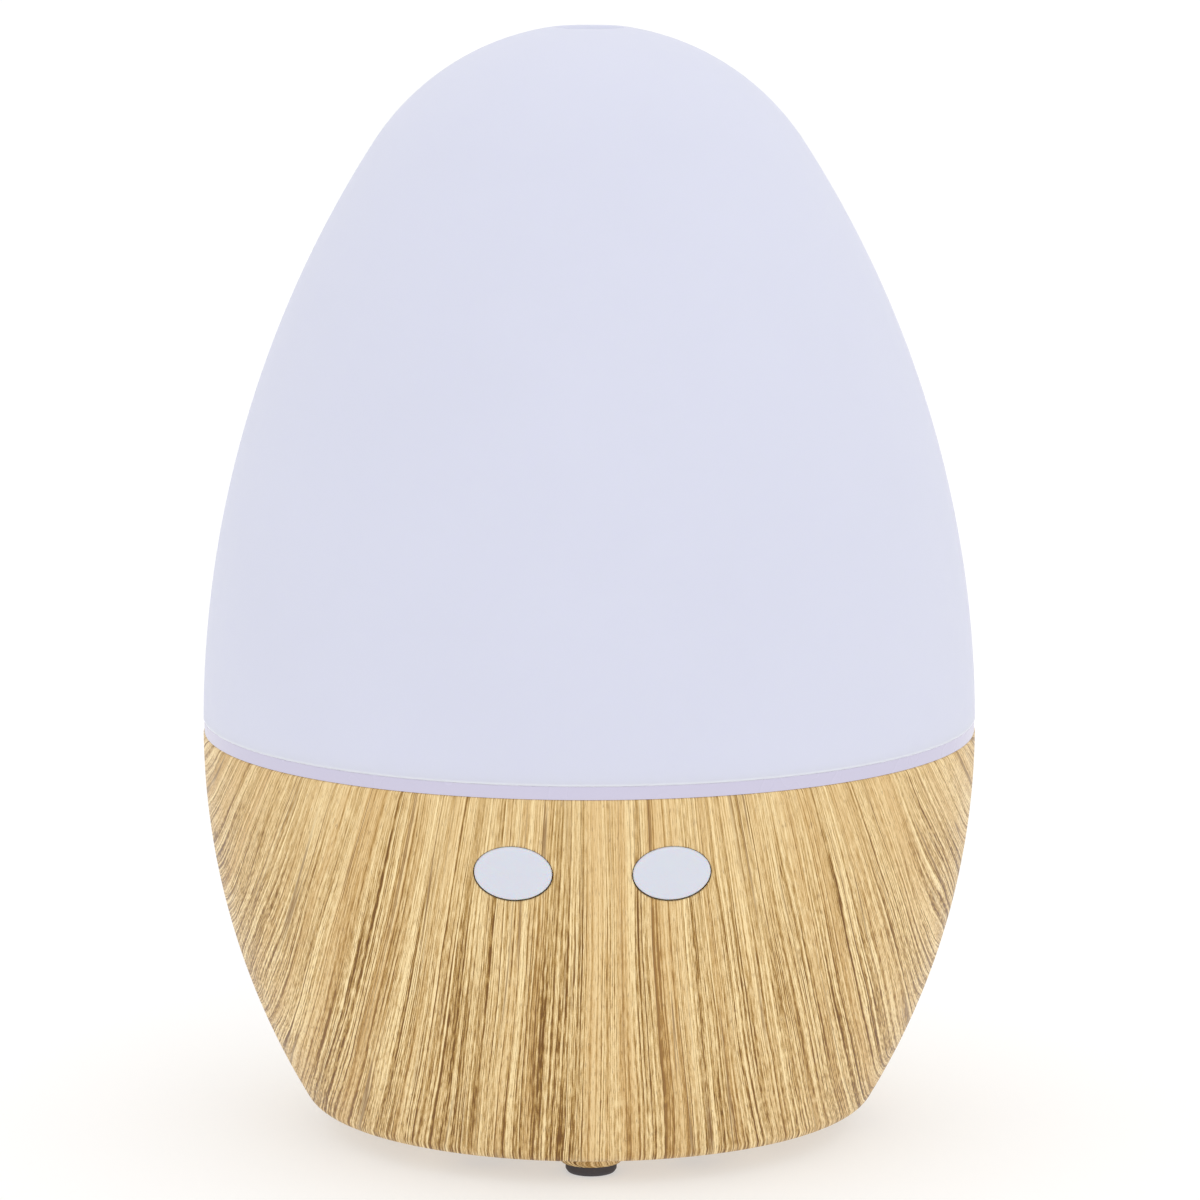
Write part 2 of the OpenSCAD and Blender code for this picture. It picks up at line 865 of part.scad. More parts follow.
// Upright housings with an open front, which the wires enter from above
module connectors() {
    color([0.95, 0.95, 0.92])
        for (c = connector_list)
            translate([c[0], c[1], main_top_z])
                difference() {
                    translate([-c[2] / 2, -c[3] / 2, 0])
                        cube([c[2], c[3], connector_h]);
                    translate([c[2] / 2 - 0.5, -c[3] / 2 + 0.9, 1.2])
                        cube([1, c[3] - 1.8, connector_h - 2.4]);
                }
}

// ---- Fan ----

module fan_frame() {
    color([0.12, 0.12, 0.13])
        difference() {
            union() {
                difference() {
                    translate([fan_at.x - fan_size / 2, fan_at.y - fan_size / 2, fan_z])
                        cube([fan_size, fan_size, fan_h]);
                    translate(fan_at)
                        rod(fan_bore_r, fan_z - 1, fan_top_z + 1);
                }
                // motor plate, three struts and the bearing's tube
                translate(fan_at) {
                    rod(6.6, fan_z, fan_z + fan_base_t);
                    for (a = [60, 180, 300])
                        rotate(a)
                            translate([0, -0.8, fan_z])
                                cube([fan_bore_r + 0.4, 1.6, fan_base_t]);
                    rod(fan_tube_r, fan_z, fan_z + 5.4);
                }
            }
            translate(fan_at)
                rod(fan_bearing_r + 0.02, fan_z + fan_base_t + 0.2, far);
            for (p = fan_hole_places)
                translate(p)
                    rod(1.2, 0, far);
        }
}

module fan_bearing() {
    color([0.7, 0.52, 0.3])
        translate(fan_at)
            ring(fan_bearing_r, fan_shaft_r + fan_running_gap,
                fan_z + fan_base_t + 0.2, fan_z + 5.2);
}

module fan_shaft() {
    color([0.78, 0.79, 0.8])
        translate(fan_at)
            rod(fan_shaft_r, fan_z + fan_base_t + 0.4, fan_top_z - 0.8);
}

module fan_rotor() {
    cup_z = fan_z + 2;
    top_z = fan_top_z - 0.3;
    color([0.13, 0.13, 0.14])
        translate(fan_at) {
            difference() {
                rod(fan_hub_r, cup_z, top_z);
                ring(fan_hub_r - 0.8, 2, cup_z - 1, top_z - 0.9);
                rod(2.1, cup_z - 1, top_z - 1.5);
                rod(fan_shaft_r + 0.01, cup_z - 1, fan_top_z - 0.8);
            }
            intersection() {
                ring(fan_blade_r, fan_hub_r - 0.4, cup_z, top_z - 0.2);
                for (i = [0:fan_blades - 1])
                    rotate(i * 360 / fan_blades)
                        translate([fan_hub_r - 1, 0, (cup_z + top_z) / 2])
                            rotate([42, 0, 0])
                                translate([0, -3.6, -0.35])
                                    cube([8, 7.2, 0.7]);
            }
        }
}

module fan_magnet() {
    color([0.3, 0.3, 0.31])
        translate(fan_at)
            ring(fan_hub_r - 0.8 - 0.01, 6.3, fan_z + 2.2, fan_top_z - 1.4);
}

module fan_stator() {
    color([0.5, 0.5, 0.52])
        translate(fan_at)
            difference() {
                union() {
                    // hub, four poles and their shoes
                    ring(3.7, fan_tube_r + 0.02, fan_z + 2.6, fan_z + 4.8);
                    intersection() {
                        for (a = [0:90:270])
                            rotate(a)
                                translate([3.4, -0.9, fan_z + 2.6])
                                    cube([4, 1.8, 2.2]);
                        rod(6, 0, far);
                    }
                    ring(6, 5.3, fan_z + 2.6, fan_z + 4.8);
                }
                for (a = [45:90:315])
                    rotate(a)
                        translate([4.6, -0.8, 0])
                            cube([3, 1.6, far]);
            }
}

module fan_coils() {
    color([0.72, 0.4, 0.2])
        translate(fan_at)
            for (a = [0:90:270])
                rotate(a)
                    difference() {
                        translate([3.9, -1.5, fan_z + 2.1])
                            cube([1.1, 3, 3.2]);
                        translate([3, -0.92, fan_z + 2.58])
                            cube([3, 1.84, 2.24]);
                    }
}

module fan_screws() {
    color([0.7, 0.7, 0.72])
        for (p = fan_hole_places)
            translate([p.x, p.y, fan_top_z + duct_plate_t])
                screw(0.9, 11.5, 1.8, 1.2);
}

module air_duct() {
    color([0.9, 0.9, 0.9])
        difference() {
            union() {
                translate([fan_at.x - fan_size / 2, fan_at.y - fan_size / 2, fan_top_z])
                    cube([fan_size, fan_size, duct_plate_t]);
                translate(fan_at)
                    rod(duct_drum_r, fan_top_z, duct_roof_z + duct_wall);
                translate(standpipe)
                    rod(duct_tube_r, duct_roof_z, tank_under_z - duct_seal_h);
            }
            translate(fan_at)
                rod(duct_drum_r - duct_wall, fan_top_z - 1, duct_roof_z);
            translate(standpipe)
                rod(standpipe_r, fan_top_z, far);
            for (p = fan_hole_places)
                translate(p)
                    rod(1.15, 0, far);
        }
}

module duct_seal() {
    color([0.3, 0.3, 0.32])
        translate(standpipe)
            ring(duct_tube_r, standpipe_r + 0.1, tank_under_z - duct_seal_h, tank_under_z);
}

// ---- DC inlet ----

module dc_jack_housing() {
    color([0.1, 0.1, 0.11])
        difference() {
            union() {
                translate([-jack_w / 2, jack_back_y, jack_z - jack_h / 2])
                    cube([jack_w, jack_front_y - recess_wall - jack_back_y, jack_h]);
                translate([0, 0, jack_z])
                    rod_y(jack_nose_r, jack_front_y - recess_wall - 1, jack_front_y);
            }
            translate([0, 0, jack_z]) {
                rod_y(jack_bore_r, jack_floor_y, jack_front_y + 1);
                rod_y(jack_root_r, jack_back_y - 1, jack_front_y);
            }
            // slot for the spring contact
            translate([-1.3, jack_back_y - 1, jack_z - jack_bore_r - 0.6])
                cube([2.6, 9, 1]);
        }
}

module dc_jack_pin() {
    color([0.82, 0.78, 0.6])
        translate([0, 0, jack_z]) {
            rod_y(jack_pin_r, jack_floor_y - eps, jack_front_y - 1);
            // riveted root in the housing's back, and its head behind
            rod_y(jack_root_r, jack_back_y - 0.5, jack_floor_y);
            rod_y(1.8, jack_back_y - 1, jack_back_y);
            translate([-2.9, jack_back_y - 2, -0.4])
                cube([1.6, 1.9, 0.8]);
        }
}

// A leaf that touches the plug's sleeve, and its tab at the back
module dc_jack_contact() {
    leaf_t = 0.3;
    low_z = jack_z - jack_bore_r - 0.45;
    color([0.82, 0.78, 0.6])
        translate([-1.1, 0, 0])
            rotate([90, 0, 90])
                linear_extrude(2.2)
                    polygon([[jack_back_y - 2, low_z], [jack_back_y + 7.6, low_z],
                        [jack_back_y + 6, low_z + leaf_t + 0.35],
                        [jack_back_y + 3, low_z + leaf_t],
                        [jack_back_y - 2, low_z + leaf_t]]);
}

// ---- Wires ----

module transducer_wires() {
    color([0.8, 0.15, 0.1])
        for (route = transducer_routes)
            wire(route);
}

module fan_wires() {
    color([0.1, 0.1, 0.1])
        for (route = fan_routes)
            wire(route);
}

module power_wires() {
    color([0.8, 0.1, 0.1])
        for (route = power_routes)
            wire(route);
}

module led_wires() {
    color([0.9, 0.9, 0.9])
        for (route = led_routes)
            wire(route);
}

module button_wires() {
    color([0.85, 0.85, 0.3])
        for (route = button_routes)
            wire(route);
}

dome_cover();
splash_hood();
water_tank();
rim_seal();
base_shell();
bottom_cover();
rubber_feet();
cover_screws();
mist_button();
light_button();
mist_plunger();
light_plunger();
switch_housings();
button_board();
button_board_screws();
transducer_disc();
transducer_gasket();
transducer_retainer();
retainer_screws();
led_board();
leds();
led_board_screws();
main_board();
main_board_screws();
inductors();
capacitors();
transistor();
heat_sink();
controller_chip();
chip_resistors();
connectors();
fan_frame();
fan_rotor();
fan_magnet();
fan_shaft();
fan_bearing();
fan_stator();
fan_coils();
fan_screws();
air_duct();
duct_seal();
dc_jack_housing();
dc_jack_pin();
dc_jack_contact();
transducer_wires();
fan_wires();
power_wires();
led_wires();
button_wires();
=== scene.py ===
"""An egg-shaped ultrasonic humidifier: frosted dome, wood-look bowl, and all that works inside.

The CAD nodes stay where they are. Dome, hood, bowl, push buttons and feet are rebuilt here with
rounded edges; every other node keeps its CAD mesh and takes a material.
"""
import json
import math
import bmesh
import bpy
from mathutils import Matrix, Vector


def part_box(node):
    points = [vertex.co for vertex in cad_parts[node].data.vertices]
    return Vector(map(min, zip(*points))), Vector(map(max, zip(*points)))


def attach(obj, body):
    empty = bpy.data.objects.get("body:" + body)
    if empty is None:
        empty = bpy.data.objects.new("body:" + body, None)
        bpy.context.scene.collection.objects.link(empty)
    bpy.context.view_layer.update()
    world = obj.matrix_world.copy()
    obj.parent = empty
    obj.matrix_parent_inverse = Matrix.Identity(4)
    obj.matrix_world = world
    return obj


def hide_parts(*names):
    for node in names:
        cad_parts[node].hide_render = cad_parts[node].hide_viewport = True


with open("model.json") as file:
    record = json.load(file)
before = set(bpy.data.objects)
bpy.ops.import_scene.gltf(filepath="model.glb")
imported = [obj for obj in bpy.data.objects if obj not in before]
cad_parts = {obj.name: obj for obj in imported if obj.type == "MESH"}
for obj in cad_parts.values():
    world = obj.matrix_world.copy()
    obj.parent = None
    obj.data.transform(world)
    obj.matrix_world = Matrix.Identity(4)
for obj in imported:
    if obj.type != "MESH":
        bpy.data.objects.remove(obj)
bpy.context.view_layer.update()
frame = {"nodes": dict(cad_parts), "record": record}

MM = 0.001


# ---- Sizes: places come from the frame, arcs and edges are named here ----

def low(node):
    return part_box(node)[0]


def high(node):
    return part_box(node)[1]


def middle(node):
    return (low(node) + high(node)) / 2


BODY_R = high("base_shell").x
RIM_Z = high("base_shell").z
BOWL_Z = low("base_shell").z
DOME_Z = low("dome_cover").z
BUTTON_Z = middle("mist_button").z
BUTTON_X = middle("light_button").x
JACK_Z = middle("dc_jack_housing").z

BOWL_ARC_R = 102 * MM
FLANK_ARC_R = 150.5 * MM
CROWN_ARC_R = 35.5 * MM
BOWL_WALL = 2.2 * MM
DOME_WALL = 2 * MM
BOWL_FILLET_R = 3 * MM
OUTLET_R = 4.2 * MM
CHIMNEY_WALL = 1.6 * MM

# the crown's arc is centred on the axis and meets the flank's without a corner
CROWN_REACH = FLANK_ARC_R - CROWN_ARC_R
CROWN_Z = RIM_Z + math.sqrt(CROWN_REACH ** 2 - (FLANK_ARC_R - BODY_R) ** 2)
CROWN_ANGLE = math.asin((CROWN_Z - RIM_Z) / CROWN_REACH)

# lower corner of the bowl
FILLET_Z = BOWL_Z + BOWL_FILLET_R
FILLET_X = (BODY_R - BOWL_ARC_R
            + math.sqrt((BOWL_ARC_R - BOWL_FILLET_R) ** 2 - (RIM_Z - FILLET_Z) ** 2))
FILLET_ANGLE = math.asin((RIM_Z - FILLET_Z) / (BOWL_ARC_R - BOWL_FILLET_R))
# where the fillet meets the bowl's side
FILLET_END_Z = FILLET_Z - BOWL_FILLET_R * math.sin(FILLET_ANGLE)
FILLET_STEPS = 8


# ---- Mesh helpers ----

def make_piece(name, points, faces, materials, face_materials=None, sharp_angle=40):
    """A mesh object with outward normals, smooth apart from edges over sharp_angle degrees."""
    mesh = bpy.data.meshes.new(name)
    mesh.from_pydata(points, [], faces)
    for material in materials:
        mesh.materials.append(material)
    if face_materials:
        mesh.polygons.foreach_set("material_index", face_materials)
    work = bmesh.new()
    work.from_mesh(mesh)
    bmesh.ops.remove_doubles(work, verts=work.verts, dist=1e-7)
    bmesh.ops.dissolve_degenerate(work, edges=work.edges, dist=1e-8)
    loose = [v for v in work.verts if not v.link_faces]
    bmesh.ops.delete(work, geom=loose, context="VERTS")
    bmesh.ops.recalc_face_normals(work, faces=work.faces)
    for face in work.faces:
        face.smooth = True
    for edge in work.edges:
        edge.smooth = edge.calc_face_angle(0) < math.radians(sharp_angle)
    work.to_mesh(mesh)
    work.free()
    piece = bpy.data.objects.new(name, mesh)
    bpy.context.scene.collection.objects.link(piece)
    return piece


def arc(x, z, radius, start, end, steps):
    """Points of an arc in a half-section, between two angles above the horizontal."""
    return [(x + radius * math.cos(start + (end - start) * k / steps),
             z + radius * math.sin(start + (end - start) * k / steps), 0)
            for k in range(steps + 1)]


def rounded(corners, steps=5):
    """A closed outline from corners (x, z, radius), and where each corner's points start."""
    outline = []
    starts = []
    for i, (x, z, radius) in enumerate(corners):
        starts.append(len(outline))
        if radius == 0:
            outline.append((x, z))
            continue
        here = Vector((x, z))
        back = (Vector(corners[i - 1][:2]) - here).normalized()
        on = (Vector(corners[(i + 1) % len(corners)][:2]) - here).normalized()
        half = back.angle(on) / 2
        centre = here + (back + on).normalized() * radius / math.sin(half)
        first = here + back * radius / math.tan(half) - centre
        turn = (math.pi - 2 * half) * (1 if back.x * on.y - back.y * on.x < 0 else -1)
        for k in range(steps + 1):
            a = turn * k / steps
            outline.append((centre.x + first.x * math.cos(a) - first.y * math.sin(a),
                            centre.y + first.x * math.sin(a) + first.y * math.cos(a)))
    return outline, starts


def lathe(outline, segments, centre=(0, 0)):
    """Points and faces of a closed outline turned round a vertical axis."""
    points = []
    for r, z in outline:
        for j in range(segments):
            a = 2 * math.pi * j / segments
            points.append((centre[0] + r * math.sin(a), centre[1] - r * math.cos(a), z))
    faces = []
    count = len(outline)
    for i in range(count):
        for j in range(segments):
            n = (i + 1) % count
            m = (j + 1) % segments
            faces.append((i * segments + j, i * segments + m, n * segments + m, n * segments + j))
    return points, faces


def join_rings(faces, first, second, count):
    """Quads between two rings of points that start at two places in a point list."""
    for k in range(count):
        m = (k + 1) % count
        faces.append((first + k, first + m, second + m, second + k))


# ---- Node helpers ----

def srgb(red, green, blue):
    """A colour seen on screen, 0 to 255, as linear values with alpha."""
    def linear(value):
        share = value / 255
        return share / 12.92 if share <= 0.04045 else ((share + 0.055) / 1.055) ** 2.4
    return (linear(red), linear(green), linear(blue), 1)


class Finish:
    """One material under construction. Coordinates are the row frame's, in millimetres."""

    def __init__(self, name):
        self.material = bpy.data.materials.new(name)
        self.material.use_nodes = True
        self.tree = self.material.node_tree
        self.shader = self.tree.nodes["Principled BSDF"]
        place = self.node("ShaderNodeTexCoord").outputs["Object"]
        self.place = self.vector("SCALE", place, scale=1 / MM)

    def node(self, kind, **settings):
        made = self.tree.nodes.new(kind)
        for key, value in settings.items():
            setattr(made, key, value)
        return made

    def put(self, socket, value):
        """Links a socket to another one, or sets its number or colour."""
        if isinstance(value, bpy.types.NodeSocket):
            self.tree.links.new(value, socket)
        else:
            socket.default_value = value

    def set(self, **inputs):
        """Sets the shader's inputs; an underscore in a name stands for a space."""
        for key, value in inputs.items():
            self.put(self.shader.inputs[key.replace("_", " ")], value)

    def math(self, operation, *values, clamp=False):
        made = self.node("ShaderNodeMath", operation=operation, use_clamp=clamp)
        for socket, value in zip(made.inputs, values):
            self.put(socket, value)
        return made.outputs[0]

    def vector(self, operation, *values, scale=None):
        made = self.node("ShaderNodeVectorMath", operation=operation)
        for socket, value in zip(made.inputs, values):
            self.put(socket, value)
        if scale is not None:
            self.put(made.inputs["Scale"], scale)
        return made.outputs["Value" if operation in ("LENGTH", "DISTANCE") else "Vector"]

    def split(self, vector):
        made = self.node("ShaderNodeSeparateXYZ")
        self.put(made.inputs[0], vector)
        return made.outputs

    def joined(self, x=0.0, y=0.0, z=0.0):
        made = self.node("ShaderNodeCombineXYZ")
        for socket, value in zip(made.inputs, (x, y, z)):
            self.put(socket, value)
        return made.outputs[0]

    def noise(self, size, vector=None, detail=2.0, roughness=0.5):
        """Noise from 0 to 1 whose features are about size millimetres, or a size for each axis."""
        vector = self.place if vector is None else vector
        if isinstance(size, tuple):
            vector = self.vector("DIVIDE", vector, size)
            size = 1
        made = self.node("ShaderNodeTexNoise")
        self.put(made.inputs["Vector"], vector)
        made.inputs["Scale"].default_value = 1 / size
        made.inputs["Detail"].default_value = detail
        made.inputs["Roughness"].default_value = roughness
        return made.outputs["Fac"]

    def cells(self, size, vector=None, feature="F1", distance="EUCLIDEAN"):
        made = self.node("ShaderNodeTexVoronoi", feature=feature)
        if feature != "DISTANCE_TO_EDGE":
            made.distance = distance
        self.put(made.inputs["Vector"], self.place if vector is None else vector)
        made.inputs["Scale"].default_value = 1 / size
        return made.outputs["Distance"]

    def remap(self, value, start, end, low_value=0.0, high_value=1.0):
        """Maps start to end onto two values, smoothly and clamped."""
        made = self.node("ShaderNodeMapRange", interpolation_type="SMOOTHSTEP")
        for socket, number in zip(made.inputs, (value, start, end, low_value, high_value)):
            self.put(socket, number)
        return made.outputs[0]

    def mix(self, share, first, second):
        made = self.node("ShaderNodeMix", data_type="RGBA")
        for name, value in (("Factor_Float", share), ("A_Color", first), ("B_Color", second)):
            socket = next(s for s in made.inputs if s.identifier == name)
            self.put(socket, value)
        return next(s for s in made.outputs if s.identifier == "Result_Color")

    def ramp(self, value, stops):
        """A colour for each value, from stops (position, colour)."""
        made = self.node("ShaderNodeValToRGB")
        elements = made.color_ramp.elements
        while len(elements) < len(stops):
            elements.new(0.5)
        for element, (position, colour) in zip(elements, stops):
            element.position = position
            element.color = colour
        self.put(made.inputs[0], value)
        return made.outputs["Color"]

    def relief(self, height, depth, edge=None):
        """Bump of a depth in millimetres, on edges softened by a radius in millimetres."""
        bump = self.node("ShaderNodeBump")
        bump.inputs["Distance"].default_value = depth * MM
        self.put(bump.inputs["Height"], height)
        if edge:
            soft = self.node("ShaderNodeBevel", samples=4)
            soft.inputs["Radius"].default_value = edge * MM
            self.put(bump.inputs["Normal"], soft.outputs[0])
        self.put(self.shader.inputs["Normal"], bump.outputs[0])


# ---- Finishes ----

def scaled(colour, factor):
    return tuple(c * factor for c in colour[:3]) + (1,)


def moulded(name, colour, roughness, grain=0.35, depth=0.012, mottle=0.05, edge=0.15, **more):
    """Moulded plastic: faint mottling, a fine spark-eroded grain and uneven sheen."""
    finish = Finish(name)
    cloud = finish.noise(9, detail=3)
    finish.set(
        Base_Color=finish.mix(cloud, scaled(colour, 1 - mottle), scaled(colour, 1 + mottle)),
        Roughness=finish.remap(finish.noise(6), 0.25, 0.75, roughness - 0.02, roughness + 0.03),
        **more)
    finish.relief(finish.noise(grain, detail=3), depth, edge)
    return finish.material


def metal(name, colour, roughness, stretch=(0.12, 2.5, 0.12), depth=0.01, edge=0.1, worn=0.12):
    """Metal with brushing along one axis and duller, darker patches."""
    finish = Finish(name)
    lines = finish.noise(stretch, detail=3)
    patches = finish.noise(3, detail=4)
    tone = finish.math("MULTIPLY_ADD", lines, 0.6, finish.math("MULTIPLY", patches, 0.4))
    finish.set(
        Base_Color=finish.mix(tone, scaled(colour, 1 - worn), scaled(colour, 1 + worn / 2)),
        Roughness=finish.remap(patches, 0.3, 0.7, roughness - 0.06, roughness + 0.1),
        Metallic=1.0)
    finish.relief(lines, depth, edge)
    return finish.material


# how far the film slipped outwards over the bowl's underside
FILM_SLACK = 15 * MM


def film_place(finish):
    """Where a point of the bowl lies on the flat film that was drawn up round it, from below.

    The film's radius is the distance along the bowl's side from the middle of its underside,
    and a little more, because the film slips outwards as it is drawn up.
    """
    x, y, z = finish.split(finish.place)
    arc_r = BOWL_ARC_R / MM
    rim_arc = FILLET_X / MM + BOWL_FILLET_R / MM + arc_r * FILLET_ANGLE
    climb = finish.math("ARCSINE", finish.math("DIVIDE", finish.math("SUBTRACT", RIM_Z / MM, z),
                                               arc_r))
    side_r = finish.math("MULTIPLY_ADD", climb, -arc_r, rim_arc)
    # round the bottom fillet and under it, height no longer tells how far out a point is
    fillet_r = BOWL_FILLET_R / MM
    reach = finish.math("SQRT", finish.math("MULTIPLY_ADD", x, x, finish.math("MULTIPLY", y, y)))
    under_r = finish.math("ADD", reach, fillet_r * (1 - math.cos(FILLET_ANGLE)))
    below = finish.math("LESS_THAN", z, FILLET_END_Z / MM)
    film_r = finish.math("MULTIPLY_ADD", below, finish.math("SUBTRACT", under_r, side_r), side_r)
    film_r = finish.math("ADD", film_r, FILM_SLACK / MM)
    flat = finish.joined(x, y)
    return finish.vector("SCALE", finish.vector("NORMALIZE", flat), scale=film_r)


def wood(name, film):
    """Printed light oak under satin varnish. The grain runs along the film's Y."""
    finish = Finish(name)
    place = film(finish)
    # the grain wanders slowly, and a little at a finer scale
    sway = finish.math("SUBTRACT", finish.noise((18, 70, 1), place, detail=1), 0.5)
    shiver = finish.math("SUBTRACT", finish.noise((4, 14, 1), place, detail=1), 0.5)
    u, v, _ = finish.split(place)
    u = finish.math("MULTIPLY_ADD", sway, 5.0, u)
    u = finish.math("MULTIPLY_ADD", shiver, 0.6, u)
    grain = finish.joined(u, v)
    # each layer: size across and along the grain, and its share of the tone
    layers = [(6.0, 260, 0.2), (1.5, 220, 0.2), (0.4, 170, 1.15), (0.27, 70, 1.35),
              (0.32, 16, 0.95), (0.24, 2.2, 1.1)]
    tone = 0.63
    fine = None
    for across, along, share in layers:
        layer = finish.noise((across, along, 1), grain, detail=1, roughness=0.6)
        fine = layer
        centred = finish.math("SUBTRACT", layer, 0.5)
        tone = finish.math("MULTIPLY_ADD", centred, share, tone)
    # thin combed lines, broken into dashes: size across and along, width, and depth
    dash = finish.remap(finish.noise((0.5, 2.6, 1), grain, detail=1), 0.3, 0.6, 0.5, 1.2)
    for across, along, width, depth in ((1.7, 260, 0.035, 0.42), (1.0, 200, 0.055, 0.34)):
        comb = finish.noise((across, along, 1), grain, detail=1)
        comb = finish.math("ABSOLUTE", finish.math("SUBTRACT", comb, 0.5))
        comb = finish.math("MULTIPLY", finish.remap(comb, 0.0, width, 1.0, 0.0), dash)
        tone = finish.math("MULTIPLY_ADD", comb, -depth, tone)
    speck = finish.math("SUBTRACT", finish.noise(0.25, place, detail=1), 0.5)
    tone = finish.math("MULTIPLY_ADD", speck, 0.3, tone)
    # towards the rim the tone is pulled towards a pale middle, which makes it paler and lowers its
    # contrast
    height = finish.split(finish.place)[2]
    stretch = finish.remap(height, RIM_Z / MM - 26, RIM_Z / MM, 0, 1)
    tone = finish.math("MULTIPLY_ADD", finish.math("SUBTRACT", 0.66, tone),
                       finish.math("MULTIPLY", stretch, 0.45), tone)
    colour = finish.ramp(tone, [
        (0.0, srgb(114, 74, 18)), (0.18, srgb(150, 111, 45)), (0.34, srgb(185, 149, 88)),
        (0.5, srgb(211, 178, 121)), (0.67, srgb(232, 203, 149)), (0.9, srgb(253, 229, 176))])
    # broad amber bands
    band = finish.remap(finish.noise((5, 240, 1), grain, detail=1), 0.45, 0.68, 0.0, 0.34)
    colour = finish.mix(band, colour, srgb(203, 158, 92))
    # long dark lines between growth rings, which come and go
    ring = finish.noise((2.6, 170, 1), grain, detail=1)
    ring = finish.math("ABSOLUTE", finish.math("SUBTRACT", ring, 0.5))
    line = finish.remap(ring, 0.004, 0.02, 1.0, 0.0)
    gate = finish.remap(finish.noise((5, 40, 1), grain), 0.45, 0.6)
    line = finish.math("MULTIPLY", line, finish.math("MULTIPLY", gate, 0.7))
    # short pores
    pore = finish.remap(finish.noise((0.17, 1.5, 1), grain, detail=1), 0.6, 0.72)
    mark = finish.math("MAXIMUM", line, finish.math("MULTIPLY", pore, 0.55))
    colour = finish.mix(mark, colour, srgb(122, 84, 40))
    finish.set(
        Base_Color=colour,
        Roughness=finish.remap(finish.noise(4, detail=3), 0.3, 0.7, 0.42, 0.52),
        Specular_IOR_Level=0.3, Coat_Weight=0.12, Coat_Roughness=0.35)
    finish.relief(finish.math("MULTIPLY_ADD", mark, -1.0, fine), 0.015, 0.25)
    return finish.material


def circuit_board(name, mask, track, seed_shift):
    """Solder mask over copper tracks, with tinned pads."""
    finish = Finish(name)
    place = finish.vector("ADD", finish.place, (seed_shift, seed_shift / 2, 0.0))
    edge = finish.cells(2.4, place, "DISTANCE_TO_EDGE")
    lines = finish.remap(edge, 0.05, 0.085, 1.0, 0.0)
    pads = finish.remap(finish.cells(2.4, place), 0.11, 0.14, 1.0, 0.0)
    cloud = finish.noise(6)
    base = finish.mix(cloud, scaled(mask, 0.9), scaled(mask, 1.12))
    base = finish.mix(lines, base, track)
    base = finish.mix(pads, base, srgb(205, 204, 196))
    finish.set(
        Base_Color=base,
        Metallic=finish.math("MULTIPLY", pads, 0.9),
        Roughness=finish.mix(pads, (0.32, 0.32, 0.32, 1), (0.28, 0.28, 0.28, 1)),
        Coat_Weight=0.3)
    finish.relief(finish.math("MAXIMUM", lines, pads), 0.03, 0.08)
    return finish.material


def frosted(name):
    """Frosted polypropylene: milky, with a fine etched surface and a painted highlight along its
    lower edge.
    """
    finish = Finish(name)
    cloud = finish.noise(24, detail=2)
    colour = srgb(213, 215, 231)
    body = finish.mix(cloud, scaled(colour, 0.985), scaled(colour, 1.015))
    # painted highlight: the lowest half millimetre of the dome is painted a paler colour, as if its
    # thin lower edge caught the light
    height = finish.split(finish.place)[2]
    edge = finish.remap(height, DOME_Z / MM + 0.15, DOME_Z / MM + 0.5, 1, 0)
    finish.set(
        Base_Color=finish.mix(edge, body, srgb(228, 230, 242)),
        Specular_IOR_Level=0.12,
        Roughness=finish.remap(finish.noise(3, detail=3), 0.3, 0.7, 0.5, 0.58),
        Subsurface_Weight=0.35, Subsurface_Scale=2.5 * MM, Subsurface_Radius=(1.0, 0.95, 1.1))
    finish.relief(finish.noise(0.3, detail=3), 0.008)
    return finish.material


